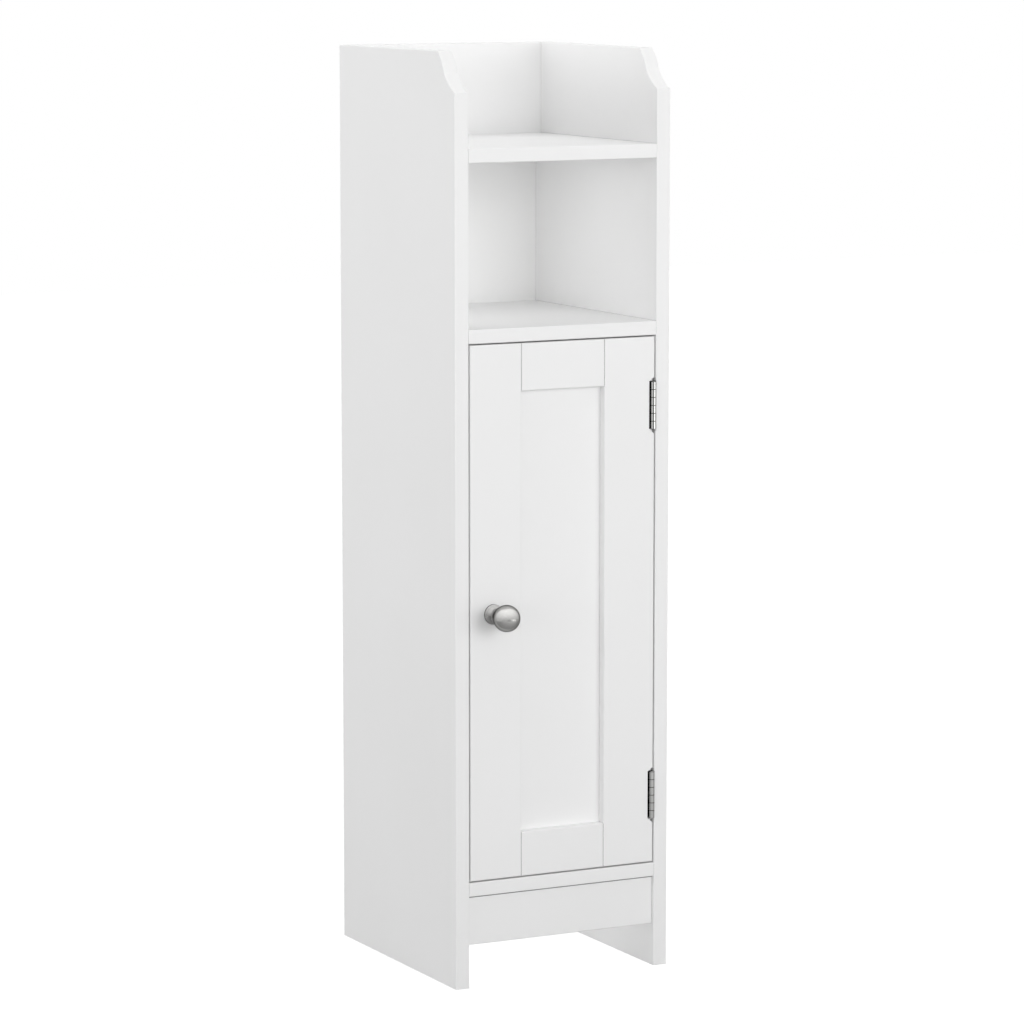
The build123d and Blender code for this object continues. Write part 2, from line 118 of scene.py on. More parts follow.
class Recipe:
    """A material's node tree, filled one node at a time."""

    def __init__(self, name: str) -> None:
        """Starts an empty material with its output.

        Args:
            name: The material's name.
        """
        self.material = bpy.data.materials.new(name)
        self.material.use_nodes = True
        self.tree = self.material.node_tree
        self.tree.nodes.clear()
        self.output = self.tree.nodes.new("ShaderNodeOutputMaterial")

    def node(self, kind: str, **settings: object) -> bpy.types.Node:
        """Adds one node.

        Args:
            kind: The node's Blender type without its leading ShaderNode.
            **settings: Properties of the node.

        Returns:
            The new node.
        """
        made = self.tree.nodes.new("ShaderNode" + kind)
        for key, value in settings.items():
            setattr(made, key, value)
        return made

    def join(self, source: bpy.types.NodeSocket, target: bpy.types.NodeSocket) -> None:
        """Links an output socket to an input socket."""
        self.tree.links.new(source, target)

    def feed(self, value: object, target: bpy.types.NodeSocket) -> None:
        """Links a socket to an input, or sets the input to a number or a colour."""
        if isinstance(value, bpy.types.NodeSocket):
            self.join(value, target)
        else:
            target.default_value = (*value, 1.0) if isinstance(value, tuple) else value

    def place(self) -> bpy.types.NodeSocket:
        """Gives the surface point in metres, at rest, in the cabinet's frame."""
        return self.node("TexCoord").outputs["Object"]

    def axes(self, vector: bpy.types.NodeSocket) -> dict[str, bpy.types.NodeSocket]:
        """Splits a vector into its X, Y and Z."""
        split = self.node("SeparateXYZ")
        self.join(vector, split.inputs["Vector"])
        return {axis: split.outputs[axis] for axis in "XYZ"}

    def noise(
        self, scale: float, detail: float = 2.0, stretch: Colour = (1.0, 1.0, 1.0)
    ) -> bpy.types.NodeSocket:
        """Adds a noise texture in the cabinet's frame.

        Args:
            scale: Waves to the metre.
            detail: Octaves of finer noise.
            stretch: Factors on the scale along X, Y and Z.

        Returns:
            The noise's value, around a half.
        """
        mapping = self.node("Mapping")
        mapping.inputs["Scale"].default_value = stretch
        self.join(self.place(), mapping.inputs["Vector"])
        texture = self.node("TexNoise")
        texture.inputs["Scale"].default_value = scale
        texture.inputs["Detail"].default_value = detail
        self.join(mapping.outputs["Vector"], texture.inputs["Vector"])
        return texture.outputs["Fac"]

    def span(
        self,
        value: bpy.types.NodeSocket,
        low: float,
        high: float,
        start: float = 0.3,
        end: float = 0.7,
    ) -> bpy.types.NodeSocket:
        """Maps a value onto a new range, held at its ends.

        Args:
            value: The value to map.
            low: The result at start.
            high: The result at end.
            start: The value that gives low.
            end: The value that gives high.

        Returns:
            The mapped value.
        """
        mapped = self.node("MapRange")
        mapped.inputs["From Min"].default_value = start
        mapped.inputs["From Max"].default_value = end
        mapped.inputs["To Min"].default_value = low
        mapped.inputs["To Max"].default_value = high
        self.join(value, mapped.inputs["Value"])
        return mapped.outputs["Result"]

    def maths(self, operation: str, *values: object) -> bpy.types.NodeSocket:
        """Adds one Math node.

        Args:
            operation: What it does.
            *values: Its inputs in order, as sockets or numbers.

        Returns:
            The result.
        """
        made = self.node("Math", operation=operation)
        for target, value in zip(made.inputs, values):
            self.feed(value, target)
        return made.outputs["Value"]

    def chosen(
        self, share: bpy.types.NodeSocket, first: object, second: object
    ) -> bpy.types.NodeSocket:
        """Picks between two values, each a socket or a number.

        Args:
            share: 0 for the first and 1 for the second.
            first: The first value.
            second: The second value.

        Returns:
            The picked value.
        """
        change = self.maths("SUBTRACT", second, first)
        return self.maths("ADD", first, self.maths("MULTIPLY", share, change))

    def ripple(self, distance: bpy.types.NodeSocket, waves: float) -> bpy.types.NodeSocket:
        """Makes even waves along a distance.

        Args:
            distance: The distance in metres.
            waves: Waves to the metre.

        Returns:
            The height of the waves, from -1 to 1.
        """
        return self.maths("SINE", self.maths("MULTIPLY", distance, waves * math.tau))

    def mixed(
        self, share: object, first: object, second: object, blend: str = "MIX"
    ) -> bpy.types.NodeSocket:
        """Mixes two colours, each a socket or a plain colour.

        Args:
            share: How much of the second colour shows, from 0 to 1.
            first: The first colour.
            second: The second colour.
            blend: How the second colour is laid over the first.

        Returns:
            The mixed colour.
        """
        mix = self.node("Mix", data_type="RGBA", blend_type=blend)
        for name, value in (("Factor", share), ("A", first), ("B", second)):
            self.feed(value, mix.inputs[name])
        return mix.outputs["Result"]

    def mottled(
        self, pattern: bpy.types.NodeSocket, tone: Colour, factors: Colour
    ) -> bpy.types.NodeSocket:
        """Varies a colour with a pattern.

        Args:
            pattern: The pattern, around a half.
            tone: The colour where the pattern is low.
            factors: What the colour is multiplied by where the pattern is high.

        Returns:
            The varied colour.
        """
        other = tuple(factor * part for factor, part in zip(factors, tone))
        return self.mixed(self.span(pattern, 0.0, 1.0), tone, other)

    def dimmed(
        self, colour: bpy.types.NodeSocket, share: bpy.types.NodeSocket
    ) -> bpy.types.NodeSocket:
        """Multiplies a colour by the share of it that is left, from 0 to 1."""
        return self.mixed(1.0, colour, share, "MULTIPLY")

    def shaded(self, colour: bpy.types.NodeSocket, crevice_shade: CreviceShade) -> bpy.types.NodeSocket:
        """Paints shade into a colour in cracks and inner corners.

        Args:
            colour: The colour in the open.
            crevice_shade: How far and how much.

        Returns:
            The darkened colour.
        """
        openness = self.node("AmbientOcclusion", samples=8)
        openness.inputs["Distance"].default_value = crevice_shade.reach
        ends = (crevice_shade.deep_end, crevice_shade.open_end)
        return self.dimmed(colour, self.span(openness.outputs["AO"], crevice_shade.darkest, 1.0, *ends))

    def bump(
        self,
        height: bpy.types.NodeSocket,
        depth: float,
        below: bpy.types.NodeSocket | None = None,
    ) -> bpy.types.NodeSocket:
        """Turns a height into a normal.

        Args:
            height: The height, from 0 to 1.
            depth: The depth in metres between a height of 0 and 1.
            below: A normal to lay it on.

        Returns:
            The new normal.
        """
        made = self.node("Bump")
        made.inputs["Distance"].default_value = depth
        self.join(height, made.inputs["Height"])
        if below is not None:
            self.join(below, made.inputs["Normal"])
        return made.outputs["Normal"]

    def surface(self, **sockets: object) -> bpy.types.Material:
        """Closes the recipe with one Principled shader.

        Args:
            **sockets: The shader's inputs by name, with spaces written as low lines. A socket is
                linked, and anything else is set.

        Returns:
            The finished material.
        """
        shader = self.node("BsdfPrincipled")
        for key, value in sockets.items():
            self.feed(value, shader.inputs[key.replace("_", " ")])
        self.join(shader.outputs["BSDF"], self.output.inputs["Surface"])
        return self.material


@dataclass(frozen=True)
class SprayedPaint:
    """Satin white paint sprayed on smooth board. Its patterns are counted to the metre."""

    name: str = "sprayed paint"
    tone: float = 0.935
    clouds: float = 6.0
    cloud_factors: Colour = (0.985, 0.985, 0.983)
    peel: float = 700.0
    peel_depth: float = 0.012 * MM
    waves: float = 45.0
    wave_depth: float = 0.05 * MM
    gloss_patches: float = 30.0
    rough: tuple[float, float] = (0.40, 0.48)
    refraction: float = 1.48
    crevice_shade: CreviceShade | None = None
    # Painted shadow line below an upper edge: the edge's level, the share of colour left, and how
    # far below the edge the shadow starts and is full.
    shadowed_edge: float | None = None
    edge_shadow: float = 0.12
    edge_shadow_height: float = 1.1 * MM
    full_edge_shadow_height: float = 0.275 * MM

    def material(self) -> bpy.types.Material:
        """Makes the paint: faint cloudiness, orange peel over a slow wave, and uneven satin. Where
        it has them, shade is painted into its cracks and a painted shadow line runs along its upper
        edge."""
        recipe = Recipe(self.name)
        colour = recipe.mottled(
            recipe.noise(self.clouds, 3.0), (self.tone,) * 3, self.cloud_factors
        )
        # Painted shade in cracks and inner corners.
        if self.crevice_shade is not None:
            colour = recipe.shaded(colour, self.crevice_shade)
        # Painted shadow: a thin band just below the upper edge is darkened.
        if self.shadowed_edge is not None:
            height = recipe.axes(recipe.place())["Z"]
            start = self.shadowed_edge - self.edge_shadow_height
            end = self.shadowed_edge - self.full_edge_shadow_height
            colour = recipe.dimmed(colour, recipe.span(height, 1.0, self.edge_shadow, start, end))
        wave = recipe.bump(recipe.noise(self.waves), self.wave_depth)
        peel = recipe.bump(recipe.noise(self.peel, 1.0), self.peel_depth, wave)
        return recipe.surface(
            Base_Color=colour,
            Roughness=recipe.span(recipe.noise(self.gloss_patches, 4.0), *self.rough),
            IOR=self.refraction,
            Normal=peel,
        )


@dataclass(frozen=True)
class Hardboard:
    """Thin hardboard, painted on its smooth front and bare on its rear, which shows the screen that
    it was pressed on. Its patterns are counted to the metre."""

    name: str = "hardboard"
    tone: float = 0.93
    clouds: float = 5.0
    cloud_factors: Colour = (0.985, 0.985, 0.98)
    bare: Colour = (0.30, 0.185, 0.10)
    fibre: Colour = (0.20, 0.115, 0.06)
    fibres: float = 260.0
    screen: float = 620.0
    screen_depth: float = 0.10 * MM
    grain: float = 900.0
    grain_depth: float = 0.01 * MM
    rough: tuple[float, float] = (0.50, 0.75)

    def material(self) -> bpy.types.Material:
        """Makes the two faces, told apart by the way that they look."""
        recipe = Recipe(self.name)
        normal = recipe.axes(recipe.node("NewGeometry").outputs["True Normal"])
        rear = recipe.maths("GREATER_THAN", normal["Y"], 0.5)
        strands = recipe.span(recipe.noise(self.fibres, 6.0), 0.0, 1.0)
        paint = recipe.mottled(recipe.noise(self.clouds), (self.tone,) * 3, self.cloud_factors)
        place = recipe.axes(recipe.place())
        across, up = (recipe.ripple(place[axis], self.screen) for axis in "XZ")
        pressed = recipe.maths("MULTIPLY", recipe.maths("MULTIPLY", across, up), rear)
        below = recipe.bump(pressed, self.screen_depth)
        return recipe.surface(
            Base_Color=recipe.mixed(rear, paint, recipe.mixed(strands, self.bare, self.fibre)),
            Roughness=recipe.span(rear, *self.rough, 0.0, 1.0),
            Normal=recipe.bump(recipe.noise(self.grain), self.grain_depth, below),
        )


@dataclass(frozen=True)
class SatinNickel:
    """Turned and satin plated metal, with fine rings around the knob's axis. Its patterns are
    counted to the metre."""

    name: str = "satin nickel"
    tone: Colour = (0.52, 0.516, 0.506)
    edge_tone: Colour = (0.02, 0.02, 0.02)
    clouds: float = 300.0
    cloud_factors: Colour = (0.93, 0.93, 0.93)
    rings: float = 2600.0
    ring_depth: float = 0.0010 * MM
    pores: float = 4000.0
    pore_depth: float = 0.0008 * MM
    gloss_patches: float = 900.0
    rough: tuple[float, float] = (0.20, 0.26)
    # Painted shade in the knob's hollows, round its neck and foot.
    recess: CreviceShade = CreviceShade(40.0 * MM, 0.06, 0.30, 0.98)

    def material(self) -> bpy.types.Material:
        """Makes the metal, its rings counted along the knob's axis, with painted shade in its
        hollows.
        """
        recipe = Recipe(self.name)
        turned = recipe.ripple(recipe.axes(recipe.place())["Y"], self.rings)
        below = recipe.bump(turned, self.ring_depth)
        colour = recipe.mottled(recipe.noise(self.clouds, 3.0), self.tone, self.cloud_factors)
        return recipe.surface(
            Base_Color=recipe.shaded(colour, self.recess),
            Metallic=1.0,
            Roughness=recipe.span(recipe.noise(self.gloss_patches, 3.0), *self.rough),
            Specular_Tint=self.edge_tone,
            Normal=recipe.bump(recipe.noise(self.pores), self.pore_depth, below),
        )


@dataclass(frozen=True)
class PlatedSteel:
    """Pressed and plated steel, with faint drawn streaks along one axis. Its patterns are counted
    to the metre."""

    name: str
    tone: Colour
    rough: float
    edge_tone: Colour = (0.1, 0.1, 0.1)
    streaks: float = 2400.0
    streak_stretch: Colour = (1.0, 1.0, 0.08)
    streak_depth: float = 0.0015 * MM
    streak_factors: Colour = (0.93, 0.93, 0.93)
    gloss_patches: float = 350.0
    gloss_factors: tuple[float, float] = (0.85, 1.2)
    # Painted shade in hollows and narrow gaps, such as beside a hinge's barrel.
    recess: CreviceShade = CreviceShade(5.0 * MM, 0.04, 0.52, 0.90)
    first_joint: float | None = None
    joint_pitch: float = 8.5 * MM
    barrel_back: float = -0.1140
    # Painted shade at the joints between a barrel's knuckles: the share of colour left at a joint,
    # and how far from it the shade fades out.
    joint_shade: float = 0.25
    joint_shade_reach: tuple[float, float] = (0.025, 0.065)

    def shaded_joints(self, recipe: Recipe, level: float) -> bpy.types.NodeSocket:
        """Paints shade at the ends of a barrel's knuckles, where the joints between them lie in
        shadow.

        Args:
            recipe: The plating's recipe.
            level: The height of any one joint between knuckles.

        Returns:
            How much of the colour is left, from 0 to 1.
        """
        place = recipe.axes(recipe.place())
        rise = recipe.maths("SUBTRACT", place["Z"], level)
        knuckles = recipe.maths("DIVIDE", rise, self.joint_pitch)
        to_joint = recipe.maths("PINGPONG", knuckles, 0.5)
        unshaded = recipe.span(to_joint, self.joint_shade, 1.0, *self.joint_shade_reach)
        on_plate = recipe.maths("GREATER_THAN", place["Y"], self.barrel_back)
        return recipe.maths("MAXIMUM", unshaded, on_plate)

    def material(self) -> bpy.types.Material:
        """Makes the plating: streaks in colour and height, a patchy gloss, and painted shade in
        hollows and, where it has them, at the knuckle joints.
        """
        recipe = Recipe(self.name)
        streak = recipe.noise(self.streaks, 2.0, self.streak_stretch)
        colour = recipe.mottled(streak, self.tone, self.streak_factors)
        if self.first_joint is not None:
            colour = recipe.dimmed(colour, self.shaded_joints(recipe, self.first_joint))
        rough = (self.rough * factor for factor in self.gloss_factors)
        return recipe.surface(
            Base_Color=recipe.shaded(colour, self.recess),
            Metallic=1.0,
            Roughness=recipe.span(recipe.noise(self.gloss_patches, 4.0), *rough),
            Specular_Tint=self.edge_tone,
            Normal=recipe.bump(streak, self.streak_depth),
        )


@dataclass(frozen=True)
class MouldedPlastic:
    """White moulded plastic with a fine spark-eroded texture. Its patterns are counted to the
    metre."""

    name: str = "moulded plastic"
    tone: Colour = (0.80, 0.80, 0.79)
    clouds: float = 60.0
    cloud_factors: Colour = (0.97, 0.97, 0.97)
    gloss_patches: float = 500.0
    rough: tuple[float, float] = (0.42, 0.52)
    refraction: float = 1.5
    depth_glow: float = 0.05
    grain: float = 2500.0
    grain_depth: float = 0.01 * MM

    def material(self) -> bpy.types.Material:
        """Makes the plastic."""
        recipe = Recipe(self.name)
        return recipe.surface(
            Base_Color=recipe.mottled(recipe.noise(self.clouds), self.tone, self.cloud_factors),
            Roughness=recipe.span(recipe.noise(self.gloss_patches, 3.0), *self.rough),
            IOR=self.refraction,
            Subsurface_Weight=self.depth_glow,
            Normal=recipe.bump(recipe.noise(self.grain, 1.0), self.grain_depth),
        )


@dataclass(frozen=True)
class SinteredFerrite:
    """Dark sintered magnet with a grainy surface. Its grain is counted to the metre."""

    name: str = "sintered ferrite"
    tone: Colour = (0.045, 0.045, 0.048)
    grain: float = 3000.0
    grain_depth: float = 0.02 * MM
    grain_factors: Colour = (1.8, 1.8, 1.8)
    rough: tuple[float, float] = (0.5, 0.75)

    def material(self) -> bpy.types.Material:
        """Makes the ferrite."""
        recipe = Recipe(self.name)
        grain = recipe.noise(self.grain, 4.0)
        return recipe.surface(
            Base_Color=recipe.mottled(grain, self.tone, self.grain_factors),
            Roughness=recipe.span(grain, *self.rough),
            Normal=recipe.bump(grain, self.grain_depth),
        )


class Finishes:
    """Every finish of the cabinet, and which piece has which."""

    def __init__(self) -> None:
        """Makes the finishes."""
        # Painted shade in the cracks of the door's frame, the right side and the apron, and a
        # painted shadow line along the apron's top edge, under the bottom board.
        crevice_shade = CreviceShade(1.2 * MM, 0.10, 0.05, 0.80)
        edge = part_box("apron")[1].z
        self.joinery = SprayedPaint("sprayed joinery", crevice_shade=crevice_shade).material()
        self.edge_shadowed_apron = SprayedPaint("sprayed apron", crevice_shade=crevice_shade, shadowed_edge=edge).material()
        self.upper_hinge = self.hinge_plating("upper")
        self.lower_hinge = self.hinge_plating("lower")
        self.zinc = PlatedSteel("zinc plating", (0.50, 0.50, 0.51), 0.26).material()
        self.nickel = SatinNickel().material()
        self.by_slot = {
            Slot.PAINT: SprayedPaint().material(),
            Slot.THIN_BACK: Hardboard().material(),
            Slot.HINGE: self.upper_hinge,
            Slot.SCREW: self.zinc,
            Slot.KNOB: self.nickel,
            Slot.PLASTIC: MouldedPlastic().material(),
            Slot.MAGNET: SinteredFerrite().material(),
        }

    def hinge_plating(self, level: str) -> bpy.types.Material:
        """Makes one hinge's plating, with painted shade where its own knuckles meet."""
        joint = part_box(level + "_hinge_case_leaf")[0].z
        plating = PlatedSteel(
            level + " hinge plating", (0.60, 0.60, 0.59), 0.06, first_joint=joint
        )
        return plating.material()

    def of(self, node: str, slot: Slot) -> bpy.types.Material:
        """Picks the finish of one piece.

        Args:
            node: The piece's CAD node.
            slot: The piece's material slot.

        Returns:
            Its finish.
        """
        if node == "apron":
            return self.edge_shadowed_apron
        if node.startswith(("door_stile", "door_rail", "side_panel_right")):
            return self.joinery
        if node.startswith("lower_hinge"):
            return self.lower_hinge
        return self.by_slot[slot]


def dress(node: bpy.types.Object, material: bpy.types.Material) -> None:
    """Gives a whole piece one material.

    Args:
        node: The piece.
        material: Its finish.
    """
    node.data.materials.clear()
    node.data.materials.append(material)


@dataclass(frozen=True)
class Place:
    """The box of one solid of a CAD node, or of the whole node."""

    low: Vector
    high: Vector

    @property
    def middle(self) -> Vector:
        """The box's middle."""
        return (self.low + self.high) / 2

    @property
    def size(self) -> Vector:
        """The box's sides."""
        return self.high - self.low


def solids_of(node: bpy.types.Object) -> list[Place]:
    """Finds the separate solids of a CAD node.

    Args:
        node: The node's object.

    Returns:
        One box for each solid, from the lowest to the highest.
    """
    points = [tuple(round(part, 6) for part in vertex.co) for vertex in node.data.vertices]
    first: dict[tuple[float, ...], int] = {}
    owner = [first.setdefault(point, index) for index, point in enumerate(points)]

    def root(index: int) -> int:
        """Follows a point to the one that stands for its solid."""
        while owner[index] != index:
            owner[index] = owner[owner[index]]
            index = owner[index]
        return index

    for edge in node.data.edges:
        owner[root(edge.vertices[0])] = root(edge.vertices[1])
    groups: dict[int, list[tuple[float, ...]]] = {}
    for index, point in enumerate(points):
        groups.setdefault(root(index), []).append(point)
    places = [
        Place(Vector(map(min, zip(*group))), Vector(map(max, zip(*group))))
        for group in groups.values()
    ]
    return sorted(places, key=lambda place: (round(place.middle.z, 4), round(place.middle.x, 4)))


def along(direction: Vector, start: Vector) -> Matrix:
    """Gives the matrix that lays a piece made along Z along a direction.

    Args:
        direction: Where the piece's Z axis goes.
        start: Where the piece's origin goes.

    Returns:
        The matrix.
    """
    return Matrix.Translation(start) @ direction.to_track_quat("Z", "Y").to_matrix().to_4x4()


def ring(radius: float, level: float, sides: int) -> Loop:
    """Makes one level loop around Z, or its middle point where the radius is nought.

    Args:
        radius: The loop's radius.
        level: Its height.
        sides: How many points it has.

    Returns:
        The loop.
    """
    if radius <= 0.0:
        return [Vector((0.0, 0.0, level))]
    angles = [math.tau * step / sides for step in range(sides)]
    return [Vector((radius * math.cos(angle), radius * math.sin(angle), level)) for angle in angles]


class Builder:
    """A mesh of lofted skins, filled one skin at a time and shared by every solid of a node."""

    def __init__(self) -> None:
        """Starts an empty mesh."""
        self.mesh = bmesh.new()

    def skin(self, loops: list[Loop], matrix: Matrix) -> None:
        """Adds a skin over loops of equal count, where a loop of one point closes an end.

        Args:
            loops: The loops in order.
            matrix: Where the skin goes.
        """
        rows = [[self.mesh.verts.new(matrix @ point) for point in loop] for loop in loops]
        for low, high in zip(rows, rows[1:]):
            sides = max(len(low), len(high))
            for step in range(sides):
                after = (step + 1) % sides
                corners = (
                    low[step % len(low)],
                    low[after % len(low)],
                    high[after % len(high)],
                    high[step % len(high)],
                )
                face = list(dict.fromkeys(corners))
                if len(face) > 2:
                    self.mesh.faces.new(face)

    def piece(self, name: str, smooth_below: float = 35.0) -> bpy.types.Object:
        """Closes the mesh.

        Args:
            name: The piece's name.
            smooth_below: Edges that turn by more than these degrees stay sharp.

        Returns:
            The piece, in the scene.
        """
        bmesh.ops.recalc_face_normals(self.mesh, faces=self.mesh.faces)
        limit = math.radians(smooth_below)
        for face in self.mesh.faces:
            face.smooth = True
        for edge in self.mesh.edges:
            edge.smooth = len(edge.link_faces) == 2 and edge.calc_face_angle(0.0) < limit
        data = bpy.data.meshes.new(name)
        self.mesh.to_mesh(data)
        self.mesh.free()
        made = bpy.data.objects.new(name, data)
        bpy.context.scene.collection.objects.link(made)
        return made


@dataclass(frozen=True)
class Thread:
    """A screw thread: a sharp ridge that winds round a core and fades at both ends. The half width
    and the fade count in pitches and turns, and the sunk foot in shares of the core's radius."""

    crest: float
    root: float
    pitch: float
    steps: int = 20
    half_width: float = 0.27
    fades_to_the_turn: float = 3.0
    sunk_foot: float = 0.96
    thinnest: float = 0.02 * MM
    thinnest_crest: float = 0.05

    def cut(
        self, builder: Builder, top: float, bottom: float, point: float, matrix: Matrix
    ) -> None:
        """Adds the ridge.

        Args:
            builder: The mesh.
            top: The level where the thread starts, below the head.
            bottom: The level of the screw's end.
            point: The length over which the screw narrows to its end.
            matrix: Where the screw goes.
        """
        count = int((top - bottom) / self.pitch * self.steps)
        rise = Vector((0.0, 0.0, self.half_width * self.pitch))
        loops = []
        for step in range(count + 1):
            level = top - self.pitch * step / self.steps
            angle = math.tau * step / self.steps
            slim = min(1.0, max(0.0, (level - bottom) / point)) if point > 0.0 else 1.0
            fade = min(1.0, self.fades_to_the_turn * min(step, count - step) / self.steps)
            foot = max(self.thinnest, self.root * slim * self.sunk_foot)
            crest = foot + (self.crest * max(slim, self.thinnest_crest) - foot) * fade
            out = Vector((math.cos(angle), math.sin(angle), 0.0))
            middle = Vector((0.0, 0.0, level))
            inner, outer = out * foot + middle, out * crest + middle
            loops.append([inner + rise, outer, inner - rise])
        builder.skin(loops, matrix)


@dataclass(frozen=True)
class CrossHeadScrew:
    """A cross-head screw with its head's middle on its origin and its point down -Z."""

    head_radius: float
    head_height: float
    shank_radius: float
    length: float
    pitch: float = 1.25 * MM
    plain_length: float = 0.0
    point: float = 3.2 * MM
    dome: float = 0.0
    countersunk: bool = True
    sides: int = 36

    def cross(self, arm: float, width: float, level: float) -> Loop:
        """Makes the outline of the cross recess at one level.

        Args:
            arm: From the middle to the end of an arm.
            width: Half the width of an arm.
            level: The outline's level.

        Returns:
            The outline, with as many points as the head has sides.
        """
        quarter = [
            (arm, 0.0),
            (arm * 0.995, 0.6 * width),
            (arm * 0.95, width),
            ((arm + width) / 2, width),
            (1.15 * width, 1.02 * width),
            (1.02 * width, 1.15 * width),
            (width, (arm + width) / 2),
            (width, arm * 0.95),
            (0.6 * width, arm * 0.995),
        ]
        return [
            Vector((x * cosine - y * sine, x * sine + y * cosine, level))
            for cosine, sine in ((1, 0), (0, 1), (-1, 0), (0, -1))
            for x, y in quarter
        ]

    def recess(self) -> list[Loop]:
        """Makes the cross recess, from its bottom to its eased mouth."""
        arm = 0.52 * self.head_radius
        width = 0.15 * self.head_radius
        depth = 0.9 * self.shank_radius
        return [
            [Vector((0.0, 0.0, self.dome - depth * 1.15))],
            self.cross(0.45 * arm, 0.7 * width, self.dome - depth),
            self.cross(0.72 * arm, 0.85 * width, self.dome - 0.62 * depth),
            self.cross(arm, width, self.dome - 0.06 * depth),
            self.cross(1.06 * arm, 1.25 * width, self.dome),
        ]

    def build(self, builder: Builder, matrix: Matrix) -> None:
        """Adds the head with its recess, the core and the thread.

        Args:
            builder: The mesh.
            matrix: Where the screw goes.
        """
        head, shank, under = self.head_radius, self.shank_radius, -self.head_height
        core = 0.70 * shank if self.countersunk else 0.84 * shank
        neck = under - self.plain_length
        domed, flat = ((0.72, 0.93), (0.86, 0.70), (0.95, 0.38)), ((0.72, 1.0), (0.93, 1.0))
        crown = domed if self.dome else flat
        profile = [(share * head, rise * self.dome) for share, rise in crown]
        if self.countersunk:
            profile.append((0.985 * head, 0.02 * under))
            end = (0.12 * shank, -self.length + 0.03 * self.point)
        else:
            profile += [(head, 0.0), (head, 0.85 * under), (0.97 * head, under)]
            end = (0.8 * core, -self.length)
        profile += [
            (shank, under),
            (0.97 * shank, neck),
            (core, neck - 0.5 * self.pitch),
            (core, self.point - self.length),
            end,
            (0.0, -self.length),
        ]
        rings = [ring(radius, level, self.sides) for radius, level in profile]
        builder.skin(self.recess() + rings, matrix)
        Thread(0.995 * shank, core, self.pitch).cut(
            builder,
            neck - 0.6 * self.pitch,
            -self.length + 0.35 * self.pitch,
            self.point if self.countersunk else 0.0,
            matrix,
        )


@dataclass(frozen=True)
class Turned:
    """A turned piece along Z, given by its profile as radius and level."""

    profile: tuple[tuple[float, float], ...]
    sides: int = 48

    def build(self, builder: Builder, matrix: Matrix) -> None:
        """Adds the piece.

        Args:
            builder: The mesh.
            matrix: Where it goes.
        """
        builder.skin([ring(radius, level, self.sides) for radius, level in self.profile], matrix)


@dataclass(frozen=True)
class KnobShape:
    """The knob's profile from its foot to its ball, in millimetres."""

    reach: float = 31.0
    diameter: float = 28.5
    foot_diameter: float = 21.4
    foot_rim: float = 1.4
    foot_ease: float = 0.3
    foot_chamfer: float = 0.1
    step_diameter: float = 17.0
    step_height: float = 0.8
    neck_diameter: float = 9.4
    neck_distance: float = 9.0
    collar_diameter: float = 13.0
    bore_radius: float = 2.05
    bore_depth: float = 14.0
    ease_steps: int = 3
    ease_sweep: float = 60.0
    cove_steps: int = 14
    ball_steps: int = 44
    sides: int = 96

    def cove(self, radius: float, distance: float) -> list[tuple[float, float]]:
        """Makes the hollow arc that leaves the neck along the axis.

        Args:
            radius: The radius where the arc ends.
            distance: The distance from the door where it ends.

        Returns:
            The arc as radius and distance, from the neck outwards.
        """
        neck = self.neck_diameter / 2
        spread = radius - neck
        run = distance - self.neck_distance
        bend = (spread**2 + run**2) / (2 * spread)
        sweep = math.asin(abs(run) / bend)
        points = []
        for step in range(self.cove_steps + 1):
            angle = sweep * step / self.cove_steps
            level = self.neck_distance + math.copysign(bend * math.sin(angle), run)
            points.append((neck + bend * (1 - math.cos(angle)), level))
        return points

    def turned(self) -> Turned:
        """Gives the whole knob, bored for its screw, as a turned piece in metres."""
        foot, ball, collar = self.foot_diameter / 2, self.diameter / 2, self.collar_diameter / 2
        start = math.acos(collar / ball)
        points = [
            (0.0, self.bore_depth),
            (self.bore_radius, self.bore_depth),
            (self.bore_radius, 0.0),
            (foot - self.foot_chamfer, 0.0),
            (foot, self.foot_chamfer),
        ]
        for step in range(self.ease_steps + 1):
            angle = math.radians(self.ease_sweep * step / self.ease_steps)
            inwards = self.foot_ease * (1 - math.cos(angle))
            downwards = self.foot_ease * (1 - math.sin(angle))
            points.append((foot - inwards, self.foot_rim - downwards))
        points += reversed(self.cove(self.step_diameter / 2, self.foot_rim + self.step_height))
        points += self.cove(collar, self.reach - ball * math.sin(start))[1:]
        for step in range(1, self.ball_steps):
            angle = -start + (math.pi / 2 + start) * step / self.ball_steps
            points.append((ball * math.cos(angle), self.reach + ball * math.sin(angle)))
        points.append((0.0, self.reach + ball))
        return Turned(tuple((radius * MM, level * MM) for radius, level in points), self.sides)


